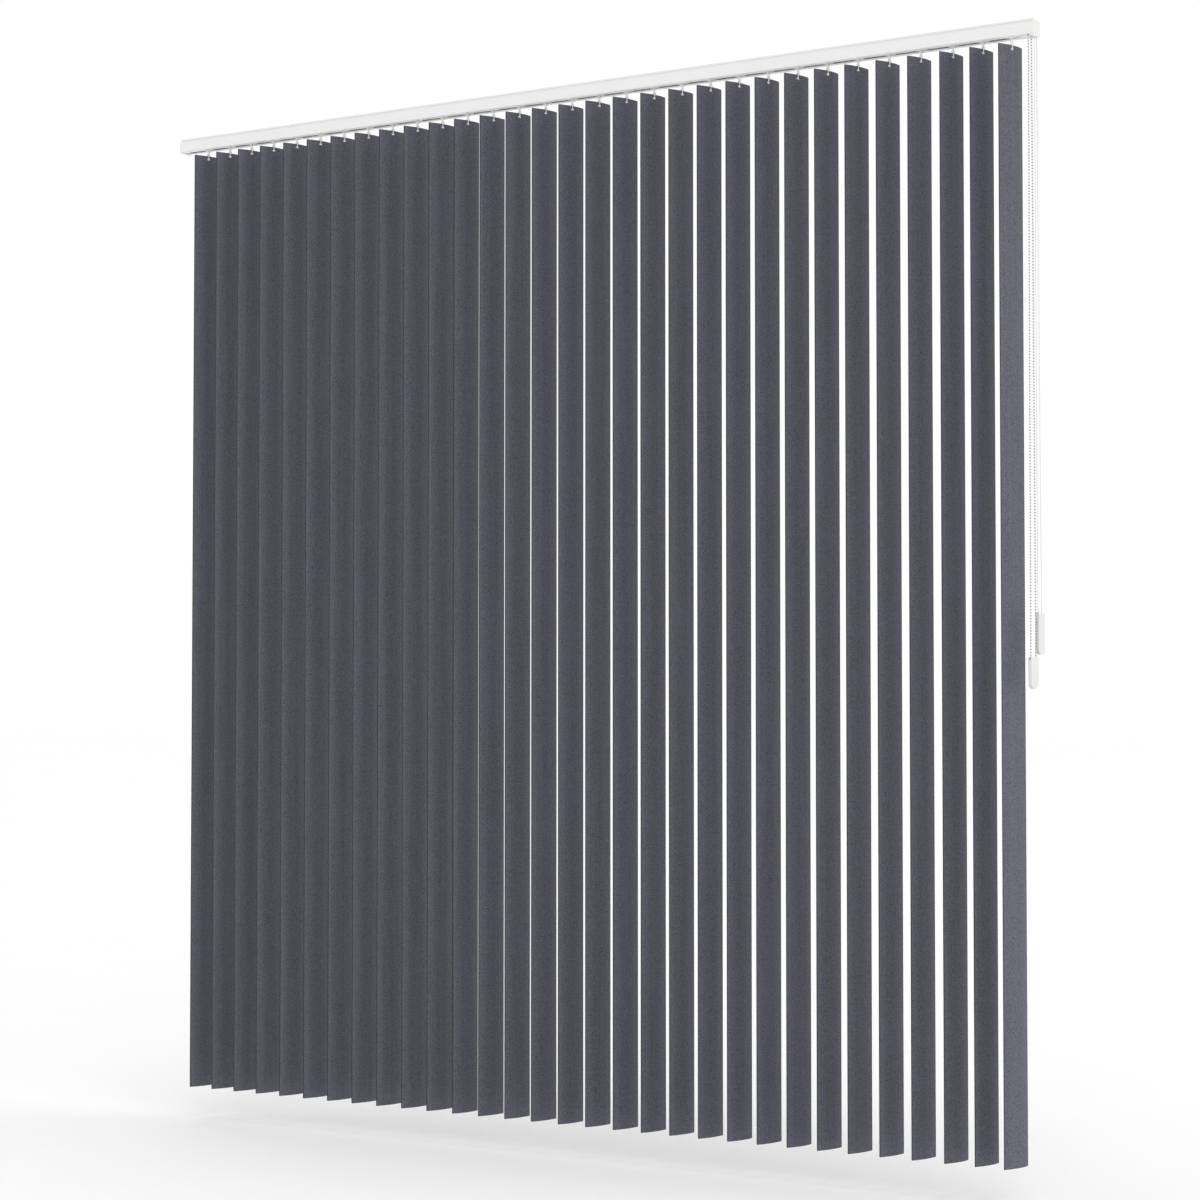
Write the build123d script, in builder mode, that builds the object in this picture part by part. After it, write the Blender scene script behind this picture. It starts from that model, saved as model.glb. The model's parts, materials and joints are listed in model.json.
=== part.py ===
from build123d import *
import os
from math import asin, cos, degrees, pi, radians, sin

# A vertical blind in millimetres. X runs along the headrail, Y towards the wall and Z up.
# The origin is the centre of the rail's top face, which is fixed to the ceiling.

# --- headrail -------------------------------------------------------------------------
rail_depth = 47.0
rail_height = 38.0
rail_wall = 1.4
rail_lip_height = 3.5          # the top lip that a ceiling bracket hooks under
rail_groove_height = 5.0       # the groove below that lip
rail_groove_depth = 2.0
rail_slot = 14.0               # the slot under the rail that the carriers' necks pass through
rail_corner = 2.4
left_overhang = 88.4           # from the first slat's pivot to the rail's left end
right_overhang = 18.7          # from the last slat's pivot to the rail's right end
housing_length = 46.0

# --- slats ----------------------------------------------------------------------------
slat_width = 89.0
slat_length = 2763.4
slat_thickness = 1.0
slat_bow = 6.4                 # how far the middle stands out from the two edges
slat_drop = 54.7               # from the rail's top face to the slats' top edge
slat_rest_angle = 72.3         # the width's angle from the rail, with the blind nearly open
slat_corner = 2.0
slat_hole_width = 10.0
slat_hole_height = 5.0
slat_hole_drop = 10.0          # from the slat's top edge to the middle of the punched slot
pitch_groups = [(3, 82.8), (22, 86.7), (3, 88.1), (1, 81.6), (1, 76.9)]

# --- clearances -----------------------------------------------------------------------
running_gap = 0.08             # radial, between a shaft and its bore
loose_gap = 0.3                # between pieces that move past each other
seat_gap = 0.1                 # between pieces that rest on one another
press_gap = 0.02               # radial, where a piece is pushed onto a shaft

# --- tilt gear ------------------------------------------------------------------------
rod_radius = 3.0
rod_flute_radius = 0.8
rod_y = -9.5
rod_z = -21.0
worm_radius = 4.0
worm_length = 20.0
gear_height = 7.0
gear_radius = -rod_y - worm_radius - loose_gap
stem_radius = 3.0
collar_radius = 4.5

# --- carriers -------------------------------------------------------------------------
carrier_length = 34.0
carrier_depth = 33.0
carrier_wall = 1.6
carrier_floor = 2.0
carrier_top_z = -6.2
carrier_base_z = -31.0
foot_length = 28.0
foot_depth = 22.0
foot_gap = 0.6                 # between the foot and the rail's floor
neck_radius = 5.5
neck_below_rail = 4.0
wheel_radius = 2.5
wheel_width = 3.0
wheel_spread = 11.0            # from the carrier's middle to each wheel's axle
wheel_axle_radius = 1.0
wheel_gap = 0.5                # between a wheel and the foot beside it
axle_end = 0.5                 # an axle reaches this far past its wheel
carrier_rod_gap = 0.5          # radial, round the tilt rod where it passes a carrier
link_width = 7.0
link_thickness = 0.8
link_y = 11.0
link_z = -14.0
link_overlap = 3.0             # how far a link reaches into each carrier's end wall

# --- hanger hook ----------------------------------------------------------------------
saddle_width = 11.0
saddle_height = 4.0
saddle_above_slat = 1.2
hook_gap = 0.25                # between the slat and the hook's two legs
hook_back_width = 8.0
hook_back_length = 17.0
hook_front_width = 2.6
hook_front_length = 13.0
hook_tip_width = 5.2
hook_tip_rise = 4.8
hook_tip_roundness = 0.85      # the tip's lower end, as a share of half its width
hook_leg = 1.2
saddle_corner = 1.2
peg_width = 4.0
peg_height = 3.0

# --- control end ----------------------------------------------------------------------
housing_wall = 1.8
end_plate = 2.0
end_plate_drop = 1.5           # the end plate reaches this far below the rail
spigot_length = 8.0
spigot_wall = 1.6
spigot_overlap = 4.0           # how far the spigot reaches into the housing
plate_top_corner = 1.0
rod_wall = 2.0                 # the wall that carries the tilt rod
rod_wall_gap = 1.6             # between that wall and the sprocket
rod_wall_top_gap = 1.0
stub_wall = 1.8                # the short wall that takes the rod's end
stub_gap = 0.7
stub_rear_y = 0.5
stub_top_z = -10.5
cheek_wall = 1.5               # the plates that hold the pulleys' axle
cheek_gap = 0.4
cheek_reach = 4.0
cheek_drop = 2.8
pad_height = 2.5               # the guide pad where chain and cord leave the housing
pad_length = 21.0
pad_from_end = 12.5
pad_inset = 4.0
pad_corner = 4.0
pad_overlap = 0.5
chain_outlet_gap = 1.1
cord_outlet_gap = 0.8
rod_end_length = 2.4           # how far the rod reaches past the sprocket
sprocket_from_end = 13.1
sprocket_width = 7.0
bead_diameter = 4.5
chain_pitch_radius = 9.5
sprocket_rim = 0.9             # how far the sprocket stands out past the chain's pitch line
cord_diameter = 2.0
pulley_from_end = 11.6
pulley_pitch_radius = 5.0
pulley_flange_radius = 5.9
pulley_width = 3.5
pulley_chamfer = 0.3
cord_front_y = 3.0
cord_rear_y = 17.0
cord_z = -4.5
pin_radius = 1.5

# --- return end -----------------------------------------------------------------------
cap_plate = 3.0
cap_overhang = 0.7             # the plate stands out past the rail's front and back
cap_chamfer = 0.6
cap_top_z = -8.6
cap_plug_length = 10.0
cap_plug_gap = 0.3
cap_pocket_inset = 2.0
shelf_half_width = 9.0
shelf_thickness = 2.0
shelf_bore_depth = 5.0
bush_radius = 6.0
bush_gap = 0.05
bush_inset = 0.5
bush_flange_radius = 7.5
bush_flange = 1.5
pin_head_radius = 2.7
pin_head = 0.8
pin_seat_depth = 4.5
return_from_end = 14.0
return_flange_radius = 8.0
return_pulley_height = 3.6
shelf_top_z = -6.8

# --- chain and cord weights -----------------------------------------------------------
chain_weight_width = 27.0
chain_weight_thickness = 11.5
chain_weight_height = 78.5
chain_weight_bottom_z = -1648.7
cord_weight_width = 22.0
cord_weight_thickness = 14.0
cord_weight_height = 103.0
cord_weight_bottom_z = -1564.7
weight_turn = 72.0             # the weights' broad faces, turned from the rail
weight_corner = 1.6
weight_floor = 3.0
weight_window = 8.0            # height of the window at the chain weight's top front
weight_pin_cover = 1.5         # the wall left over each end of the cord weight's pin
cord_sway_x = 1.6              # the cord's weight hangs this far aside, clear of the chain
cord_sway_y = 3.6
weight_flange_radius = 8.2
weight_pulley_width = 4.0

# --- worked out from the above --------------------------------------------------------
pitches = [pitch for count, pitch in pitch_groups for _ in range(count)]
slat_count = len(pitches) + 1
pivot_span = sum(pitches)
rail_length = left_overhang + pivot_span + right_overhang
whole_length = rail_length + housing_length
left_x = -whole_length / 2
rail_end_x = left_x + rail_length
end_x = left_x + whole_length
pivots = [left_x + left_overhang + sum(pitches[:i]) for i in range(slat_count)]

half_depth = rail_depth / 2
inner_y = half_depth - rail_wall
groove_y = half_depth - rail_groove_depth
upper_inner_y = groove_y - rail_wall
rail_floor_z = -rail_height + rail_wall
groove_base_z = -rail_lip_height - rail_groove_height
slat_radius = (slat_width**2 / 4 + slat_bow**2) / (2 * slat_bow)
slat_half_angle = degrees(asin(slat_width / 2 / slat_radius))
neck_base_z = -rail_height - neck_below_rail
carrier_floor_z = carrier_base_z + carrier_floor
foot_base_z = rail_floor_z + foot_gap
wheel_z = rail_floor_z + wheel_radius + seat_gap
stem_bore_radius = stem_radius + running_gap
sprocket_x = end_x - sprocket_from_end
pulley_x = end_x - pulley_from_end
cord_drop_x = pulley_x + pulley_pitch_radius
pulley_z = cord_z - pulley_pitch_radius
return_x = left_x + return_from_end
return_y = (cord_front_y + cord_rear_y) / 2
return_pitch_radius = (cord_rear_y - cord_front_y) / 2
cord_radius = cord_diameter / 2
bead_radius = bead_diameter / 2
housing_floor_z = -rail_height + housing_wall
rod_start_x = left_x + cap_pocket_inset
rod_end_x = sprocket_x + sprocket_width / 2 + rod_end_length
flute_end_gap = 4.0            # plain rod left beside the bush and the housing's wall
cheek_places = [
    cord_front_y - pulley_width / 2 - cheek_gap - cheek_wall,
    return_y - cheek_wall / 2,
    cord_rear_y + pulley_width / 2 + cheek_gap,
]

pivot_places = [(pivot, 0, 0) for pivot in pivots]

os.makedirs("parts", exist_ok=True)


def save(builder, name):
    """Label a finished piece and write it as its own node."""
    builder.part.label = name
    export_step(builder.part, f"parts/{name}.step")


def box_between(low, high, mode=Mode.ADD):
    """A block from one corner to the opposite one."""
    size = [b - a for a, b in zip(low, high)]
    with Locations(tuple(low)):
        Box(*size, align=(Align.MIN, Align.MIN, Align.MIN), mode=mode)


def rail_section(wall):
    """The section shared by rail and housing: lips and grooves outside, a hollow inside."""
    with BuildSketch() as section:
        with BuildLine():
            Polyline(
                (-half_depth, -rail_height),
                (-half_depth, groove_base_z),
                (-groove_y, groove_base_z),
                (-groove_y, -rail_lip_height),
                (-half_depth, -rail_lip_height),
                (-half_depth, 0),
                (half_depth, 0),
                (half_depth, -rail_lip_height),
                (groove_y, -rail_lip_height),
                (groove_y, groove_base_z),
                (half_depth, groove_base_z),
                (half_depth, -rail_height),
                close=True,
            )
        make_face()
        fillet(section.vertices().group_by(Axis.Y)[0], rail_corner)
        with Locations((0, -rail_height / 2)):
            Rectangle(2 * (groove_y - wall), rail_height - 2 * wall, mode=Mode.SUBTRACT)
        low_top_z = groove_base_z - wall
        low_height = rail_height - wall + low_top_z
        with Locations((0, low_top_z - low_height / 2)):
            Rectangle(2 * (half_depth - wall), low_height, mode=Mode.SUBTRACT)
    return section.sketch


# --- the rail itself ---
with BuildPart() as headrail:
    with BuildSketch(Plane.YZ.offset(left_x)):
        add(rail_section(rail_wall))
        with Locations((0, -rail_height + rail_wall / 2)):
            Rectangle(rail_slot, 2 * rail_wall, mode=Mode.SUBTRACT)
    extrude(amount=rail_length)
save(headrail, "headrail")


# --- return end: cap, pulley and pin ---
with BuildPart() as end_cap:
    with BuildSketch(Plane.YZ.offset(left_x - cap_plate)):
        cap_low_z = -rail_height - end_plate_drop
        with Locations((0, (cap_top_z + cap_low_z) / 2)):
            RectangleRounded(rail_depth + 2 * cap_overhang, cap_top_z - cap_low_z, rail_corner)
    extrude(amount=cap_plate)
    chamfer(end_cap.faces().sort_by(Axis.X)[0].edges(), cap_chamfer)
    plug_y = inner_y - cap_plug_gap
    plug_low_z = rail_floor_z + cap_plug_gap
    plug_top_z = groove_base_z - rail_wall - cap_plug_gap
    box_between(
        (left_x, -plug_y, plug_low_z),
        (left_x + cap_plug_length, plug_y, plug_top_z),
    )
    box_between(
        (left_x, return_y - shelf_half_width, plug_top_z - shelf_thickness),
        (return_x + shelf_half_width, return_y + shelf_half_width, shelf_top_z),
    )
    with Locations(Plane(origin=(left_x, rod_y, rod_z), z_dir=(-1, 0, 0))):
        Hole(bush_radius, depth=2 * cap_plug_length)
    with Locations((return_x, return_y, shelf_top_z)):
        Hole(pin_radius, depth=shelf_bore_depth)
    box_between(
        (left_x + cap_pocket_inset, rod_y + bush_radius + cap_pocket_inset, plug_low_z + cap_pocket_inset),
        (left_x + cap_plug_length, plug_y - cap_pocket_inset, plug_top_z - 2 * cap_pocket_inset),
        mode=Mode.SUBTRACT,
    )
save(end_cap, "end_cap")

with BuildPart() as rod_bush:
    with BuildSketch(Plane.YZ.offset(left_x + bush_inset)):
        with Locations((rod_y, rod_z)):
            Circle(bush_radius - bush_gap)
            Circle(rod_radius + running_gap, mode=Mode.SUBTRACT)
    extrude(amount=cap_plug_length - bush_inset)
    with BuildSketch(Plane.YZ.offset(left_x + cap_plug_length)):
        with Locations((rod_y, rod_z)):
            Circle(bush_flange_radius)
            Circle(rod_radius + running_gap, mode=Mode.SUBTRACT)
    extrude(amount=bush_flange)
save(rod_bush, "rod_bush")


def pulley(centre, direction, pitch_radius, flange_radius, width, groove_radius):
    """A grooved roller about the given axis, bored for its pin."""
    with BuildPart() as roller:
        with BuildSketch(Plane(origin=centre, z_dir=direction)):
            Circle(flange_radius)
            Circle(pin_radius + running_gap, mode=Mode.SUBTRACT)
        extrude(amount=width / 2, both=True)
        rims = roller.edges().filter_by(GeomType.CIRCLE).group_by(SortBy.RADIUS)[-1]
        chamfer(rims, pulley_chamfer)
        ring = Plane(origin=centre, z_dir=direction)
        side = Plane(origin=centre, x_dir=ring.x_dir, z_dir=ring.y_dir)
        with BuildSketch(side):
            with Locations((pitch_radius, 0)):
                Circle(groove_radius)
            with Locations((pitch_radius + flange_radius / 2, 0)):
                Rectangle(flange_radius, 2 * groove_radius)
        revolve(axis=Axis(centre, direction), mode=Mode.SUBTRACT)
    return roller


groove_radius = cord_radius + loose_gap
return_pulley = pulley(
    (return_x, return_y, cord_z),
    (0, 0, 1),
    return_pitch_radius,
    return_flange_radius,
    return_pulley_height,
    groove_radius,
)
save(return_pulley, "return_pulley")

with BuildPart() as return_pin:
    pin_low_z = shelf_top_z - pin_seat_depth
    pin_high_z = cord_z + return_pulley_height / 2 + seat_gap + pin_head
    with BuildSketch(Plane.XY.offset(pin_low_z)):
        with Locations((return_x, return_y)):
            Circle(pin_radius)
    extrude(amount=pin_high_z - pin_low_z)
    with BuildSketch(Plane.XY.offset(cord_z + return_pulley_height / 2 + seat_gap)):
        with Locations((return_x, return_y)):
            Circle(pin_head_radius)
    extrude(amount=pin_head)
save(return_pin, "return_pin")


# --- control housing ---
with BuildPart() as control_housing:
    with BuildSketch(Plane.YZ.offset(rail_end_x)):
        add(rail_section(housing_wall))
    extrude(amount=housing_length - end_plate)
    with BuildSketch(Plane.YZ.offset(end_x - end_plate)) as plate_section:
        plate_low_z = -rail_height - end_plate_drop
        with Locations((0, plate_low_z / 2)):
            Rectangle(rail_depth, -plate_low_z)
        fillet(plate_section.vertices().group_by(Axis.Y)[0], rail_corner)
        fillet(plate_section.vertices().group_by(Axis.Y)[-1], plate_top_corner)
    extrude(amount=end_plate)
    # a spigot plugs the housing into the rail
    spigot_y = inner_y - loose_gap
    spigot_top_z = groove_base_z - rail_wall - loose_gap
    spigot_low_z = rail_floor_z + loose_gap
    for low_y in (-spigot_y, spigot_y - spigot_wall):
        box_between(
            (rail_end_x - spigot_length, low_y, spigot_low_z),
            (rail_end_x + spigot_overlap, low_y + spigot_wall, spigot_top_z),
        )
    # the wall that carries the tilt rod, left of the sprocket
    housing_y = half_depth - housing_wall
    wall_x = sprocket_x - sprocket_width / 2 - rod_wall_gap
    box_between(
        (wall_x - rod_wall, -housing_y, housing_floor_z),
        (wall_x, housing_y, groove_base_z - housing_wall - rod_wall_top_gap),
    )
    # the short wall right of the sprocket takes the rod's end
    stub_x = sprocket_x + sprocket_width / 2 + stub_gap
    box_between(
        (stub_x, -housing_y, housing_floor_z),
        (stub_x + stub_wall, stub_rear_y, stub_top_z),
    )
    # cheeks that hold the pulleys' axle hang from the roof
    for cheek_y in cheek_places:
        box_between(
            (pulley_x - cheek_reach, cheek_y, pulley_z - cheek_drop),
            (end_x - end_plate, cheek_y + cheek_wall, -housing_wall),
        )
    # the guide pad under the housing, where chain and cord leave it
    with BuildSketch(Plane.XY.offset(-rail_height - pad_height)):
        with Locations((end_x - pad_from_end, 0)):
            RectangleRounded(pad_length, rail_depth - pad_inset, pad_corner)
    extrude(amount=pad_height + pad_overlap)
    # bores and outlets
    with Locations(Plane(origin=(wall_x, rod_y, rod_z), z_dir=(1, 0, 0))):
        Hole(rod_radius + running_gap, depth=rod_wall)
    with Locations(Plane(origin=(stub_x + stub_wall, rod_y, rod_z), z_dir=(1, 0, 0))):
        Hole(rod_radius + running_gap, depth=stub_wall)
    for cheek_y in cheek_places:
        with Locations(Plane(origin=(pulley_x, cheek_y + cheek_wall, pulley_z), z_dir=(0, 1, 0))):
            Hole(pin_radius, depth=cheek_wall)
    outlet_depth = pad_height + 2 * housing_wall
    for chain_y in (rod_y - chain_pitch_radius, rod_y + chain_pitch_radius):
        with Locations((sprocket_x, chain_y, housing_floor_z)):
            Hole(bead_radius + chain_outlet_gap, depth=outlet_depth)
    for cord_y in (cord_front_y, cord_rear_y):
        with Locations((cord_drop_x, cord_y, housing_floor_z)):
            Hole(cord_radius + cord_outlet_gap, depth=outlet_depth)
save(control_housing, "control_housing")

with BuildPart() as chain_sprocket:
    with BuildSketch(Plane.YZ.offset(sprocket_x)):
        with Locations((rod_y, rod_z)):
            Circle(chain_pitch_radius + sprocket_rim)
    extrude(amount=sprocket_width / 2, both=True)
    with BuildSketch(Plane.XY.offset(rod_z)):
        with Locations((sprocket_x, rod_y + chain_pitch_radius)):
            Circle(bead_radius + loose_gap)
    revolve(axis=Axis((sprocket_x, rod_y, rod_z), (1, 0, 0)), mode=Mode.SUBTRACT)
    with Locations(Plane(origin=(sprocket_x + sprocket_width / 2, rod_y, rod_z), z_dir=(1, 0, 0))):
        Hole(rod_radius + press_gap)
save(chain_sprocket, "chain_sprocket")

for place, cord_y in (("front", cord_front_y), ("rear", cord_rear_y)):
    cord_pulley = pulley(
        (pulley_x, cord_y, pulley_z),
        (0, 1, 0),
        pulley_pitch_radius,
        pulley_flange_radius,
        pulley_width,
        groove_radius,
    )
    save(cord_pulley, f"cord_pulley_{place}")

with BuildPart() as pulley_axle:
    axle_start_y = cheek_places[0]
    axle_end_y = cheek_places[-1] + cheek_wall
    with BuildSketch(Plane.XZ.offset(-axle_start_y)):
        with Locations((pulley_x, pulley_z)):
            Circle(pin_radius)
    extrude(amount=-(axle_end_y - axle_start_y))
save(pulley_axle, "pulley_axle")


# --- tilt rod and worms ---
with BuildPart() as tilt_rod:
    with BuildSketch(Plane.YZ.offset(rod_start_x)):
        with Locations((rod_y, rod_z)):
            Circle(rod_radius)
    extrude(amount=rod_end_x - rod_start_x)
    flute_start_x = left_x + cap_plug_length + flute_end_gap
    with BuildSketch(Plane.YZ.offset(flute_start_x)):
        with Locations((rod_y, rod_z)):
            with PolarLocations(rod_radius, 3, start_angle=90):
                Circle(rod_flute_radius)
    extrude(amount=wall_x - flute_end_gap - flute_start_x, mode=Mode.SUBTRACT)
save(tilt_rod, "tilt_rod")

with BuildPart() as worm:
    with BuildSketch(Plane.YZ):
        with Locations((rod_y, rod_z)):
            Circle(worm_radius)
            Circle(rod_radius + press_gap, mode=Mode.SUBTRACT)
    extrude(amount=worm_length / 2, both=True)

with BuildPart() as worms:
    with Locations(*pivot_places):
        add(worm.part)
save(worms, "worms")


# --- carriers, wheels and links ---
half_carrier = carrier_length / 2
half_body = carrier_depth / 2
inner_length = half_carrier - carrier_wall
inner_depth = half_body - carrier_wall
axle_reach = foot_depth / 2 + wheel_gap + wheel_width + axle_end
axle_places = [(-wheel_spread, wheel_z), (wheel_spread, wheel_z)]

# one carrier: an open tray on a foot, with a neck through the rail's slot
with BuildPart() as carrier:
    box_between((-half_carrier, -half_body, carrier_base_z), (half_carrier, half_body, carrier_top_z))
    box_between(
        (-inner_length, -inner_depth, carrier_floor_z),
        (inner_length, inner_depth, 0),
        mode=Mode.SUBTRACT,
    )
    box_between(
        (-foot_length / 2, -foot_depth / 2, foot_base_z),
        (foot_length / 2, foot_depth / 2, carrier_base_z),
    )
    with BuildSketch(Plane.XY.offset(neck_base_z)):
        Circle(neck_radius)
    extrude(amount=foot_base_z - neck_base_z)
    with BuildSketch(Plane.XY.offset(neck_base_z)):
        Circle(stem_bore_radius)
    extrude(amount=carrier_floor_z - neck_base_z, mode=Mode.SUBTRACT)
    with BuildSketch(Plane.YZ.offset(-half_carrier)):
        with Locations((rod_y, rod_z)):
            Circle(rod_radius + carrier_rod_gap)
        with Locations((link_y, link_z)):
            Rectangle(link_width + 2 * seat_gap, link_thickness + 2 * seat_gap)
    extrude(amount=carrier_length, mode=Mode.SUBTRACT)
    with BuildSketch(Plane.XZ.offset(-axle_reach)):
        with Locations(*axle_places):
            Circle(wheel_axle_radius)
    extrude(amount=2 * axle_reach)

with BuildPart() as carriers:
    with Locations(*pivot_places):
        add(carrier.part)
save(carriers, "carriers")

with BuildPart() as wheel_set:
    for side in (-1, 1):
        wheel_y = side * (foot_depth / 2 + wheel_gap + wheel_width / 2)
        with BuildSketch(Plane.XZ.offset(-wheel_y)):
            with Locations(*axle_places):
                Circle(wheel_radius)
                Circle(wheel_axle_radius + running_gap, mode=Mode.SUBTRACT)
        extrude(amount=wheel_width / 2, both=True)

with BuildPart() as carrier_wheels:
    with Locations(*pivot_places):
        add(wheel_set.part)
save(carrier_wheels, "carrier_wheels")

with BuildPart() as spacer_links:
    for here, there in zip(pivots, pivots[1:]):
        box_between(
            (here + inner_length - link_overlap, link_y - link_width / 2, link_z - link_thickness / 2),
            (there - inner_length + link_overlap, link_y + link_width / 2, link_z + link_thickness / 2),
        )
save(spacer_links, "spacer_links")


# --- slats and hangers ---
slat_top_z = -slat_drop
saddle_base_z = slat_top_z + saddle_above_slat
leg_offset = slat_thickness / 2 + hook_gap
across = (cos(radians(slat_rest_angle)), sin(radians(slat_rest_angle)), 0)
facing = (across[1], -across[0], 0)

# a slat on the origin's axis, bowed across its width, with a punched slot for its hanger
with BuildPart() as slat:
    with BuildSketch(Plane(origin=(0, 0, slat_top_z), x_dir=across, z_dir=(0, 0, 1))):
        with BuildLine():
            bow_centre = (0, slat_radius)
            start = -90 - slat_half_angle
            outer = CenterArc(bow_centre, slat_radius + slat_thickness / 2, start, 2 * slat_half_angle)
            inner_arc = CenterArc(bow_centre, slat_radius - slat_thickness / 2, start, 2 * slat_half_angle)
            Line(outer @ 0, inner_arc @ 0)
            Line(outer @ 1, inner_arc @ 1)
        make_face()
    extrude(amount=-slat_length)
    fillet(slat.edges().filter_by(lambda edge: edge.length < 2 * slat_thickness), slat_corner)
    with BuildSketch(Plane(origin=(0, 0, slat_top_z - slat_hole_drop), x_dir=across, z_dir=facing)):
        SlotOverall(slat_hole_width, slat_hole_height)
    extrude(amount=2 * slat_thickness, both=True, mode=Mode.SUBTRACT)

# its hanger: gear, collar and stem turned about the same axis, then a hook round the slat
gear_base_z = rod_z - gear_height / 2
collar_base_z = carrier_floor_z + seat_gap
peg_z = slat_top_z - slat_hole_drop + slat_hole_height / 2 - seat_gap - peg_height / 2
hook = Plane(origin=(0, 0, saddle_base_z), x_dir=across, z_dir=(0, 0, 1))
peg = Plane(origin=(0, 0, peg_z), x_dir=across, z_dir=facing)

with BuildPart() as hanger:
    for radius, low_z, high_z in (
        (gear_radius, gear_base_z, gear_base_z + gear_height),
        (collar_radius, collar_base_z, gear_base_z),
        (stem_radius, saddle_base_z + saddle_height, collar_base_z),
    ):
        with BuildSketch(Plane.XY.offset(low_z)):
            Circle(radius)
        extrude(amount=high_z - low_z)
    with BuildSketch(hook):
        RectangleRounded(saddle_width, 2 * (leg_offset + hook_leg), saddle_corner)
    extrude(amount=saddle_height)
    with BuildSketch(hook):
        with Locations((0, leg_offset + hook_leg / 2)):
            Rectangle(hook_back_width, hook_leg)
    extrude(amount=-hook_back_length)
    with BuildSketch(hook):
        with Locations((0, -leg_offset - hook_leg / 2)):
            Rectangle(hook_front_width, hook_leg)
    extrude(amount=-hook_front_length)
    with BuildSketch(peg):
        Rectangle(peg_width, peg_height)
    extrude(amount=leg_offset + hook_leg / 2, both=True)
    # the tip of the front leg is a drop shape with its point upwards
    with BuildSketch(peg.offset(leg_offset)):
        with BuildLine():
            side = hook_tip_width / 2
            low = -peg_height / 2
            Polyline((-side, low), (0, hook_tip_rise), (side, low))
            ThreePointArc((side, low), (0, low - hook_tip_roundness * side), (-side, low))
        make_face()
    extrude(amount=hook_leg)

for number, place in enumerate(pivot_places, start=1):
    with BuildPart() as hung_slat:
        with Locations(place):
            add(slat.part)
            add(hanger.part)
    save(hung_slat, f"slat_{number:02d}")


# --- cords and chain ---
def tube(points, radii, diameter):
    """A round tube along straight runs joined by arcs."""
    with BuildPart() as run:
        with BuildLine() as route:
            FilletPolyline(*points, radius=radii)
        path = route.wire()
        with BuildSketch(Plane(origin=path @ 0, z_dir=path % 0)):
            Circle(diameter / 2)
        sweep(path=path)
    ratio = run.part.volume / (pi * diameter**2 / 4 * path.length)
    print(f"tube of {diameter}: length {path.length:.1f}, radii {radii}, volume ratio {ratio:.5f}")
    return run


turn = radians(weight_turn)
weight_across = Vector(cos(turn), sin(turn), 0)


def low_points(centre, half_span, z):
    """The two corners of a loop below, where it turns in its weight."""
    reach = weight_across * half_span
    depth = Vector(0, 0, z)
    return [centre - reach + depth, centre + reach + depth]


arc_slack = 0.02               # keeps a short straight run between two arcs

# the bead chain runs round the sprocket above and through its weight below; its two ends meet on top
chain_joint = 0.02
chain_bend = chain_pitch_radius - arc_slack - chain_joint
chain_top_z = rod_z + chain_pitch_radius
chain_low_z = chain_weight_bottom_z + weight_floor + bead_radius
chain_centre = Vector(sprocket_x, rod_y, 0)
chain_points = [
    Vector(sprocket_x, rod_y - chain_joint / 2, chain_top_z),
    Vector(sprocket_x, rod_y - chain_pitch_radius, chain_top_z),
    *low_points(chain_centre, chain_pitch_radius, chain_low_z),
    Vector(sprocket_x, rod_y + chain_pitch_radius, chain_top_z),
    Vector(sprocket_x, rod_y + chain_joint / 2, chain_top_z),
]
bead_chain = tube(chain_points, [chain_bend] * 4, bead_diameter)
save(bead_chain, "bead_chain")

# the pull cord hangs from its two pulleys and turns round a third in its weight
weight_pulley_z = cord_weight_bottom_z + weight_floor + loose_gap + weight_flange_radius
cord_centre = Vector(cord_drop_x + cord_sway_x, return_y + cord_sway_y, 0)
pulley_bend = pulley_pitch_radius - arc_slack
return_bend = return_pitch_radius - arc_slack
cord_points = [
    Vector(pulley_x, cord_front_y, cord_z),
    Vector(cord_drop_x, cord_front_y, cord_z),
    *low_points(cord_centre, return_pitch_radius, weight_pulley_z - return_pitch_radius),
    Vector(cord_drop_x, cord_rear_y, cord_z),
    Vector(pulley_x, cord_rear_y, cord_z),
]
pull_cord = tube(cord_points, [pulley_bend, return_bend, return_bend, pulley_bend], cord_diameter)
save(pull_cord, "pull_cord")

# its upper run goes along the rail, round the return pulley and back
traverse_points = [
    Vector(pulley_x, cord_front_y, cord_z),
    Vector(return_x - return_pitch_radius, cord_front_y, cord_z),
    Vector(return_x - return_pitch_radius, cord_rear_y, cord_z),
    Vector(pulley_x, cord_rear_y, cord_z),
]
traverse_cord = tube(traverse_points, [return_bend, return_bend], cord_diameter)
save(traverse_cord, "traverse_cord")


# --- weights ---
weight_facing = (sin(turn), -cos(turn), 0)


def weight_blank(centre, bottom_z, width, height, thickness):
    """A flat weight with a round lower end and softened edges."""
    face = Plane(origin=(centre.X, centre.Y, bottom_z), x_dir=weight_across, z_dir=weight_facing)
    with BuildPart() as blank:
        with BuildSketch(face):
            with BuildLine():
                left = Line((-width / 2, height), (-width / 2, width / 2))
                RadiusArc(left @ 1, (width / 2, width / 2), -width / 2)
                Line((width / 2, width / 2), (width / 2, height))
                Line((width / 2, height), left @ 0)
            make_face()
        extrude(amount=thickness / 2, both=True)
        fillet(blank.edges().filter_by(lambda edge: abs((edge % 0.5).dot(face.z_dir)) < 0.01), weight_corner)
    return face, blank


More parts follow.
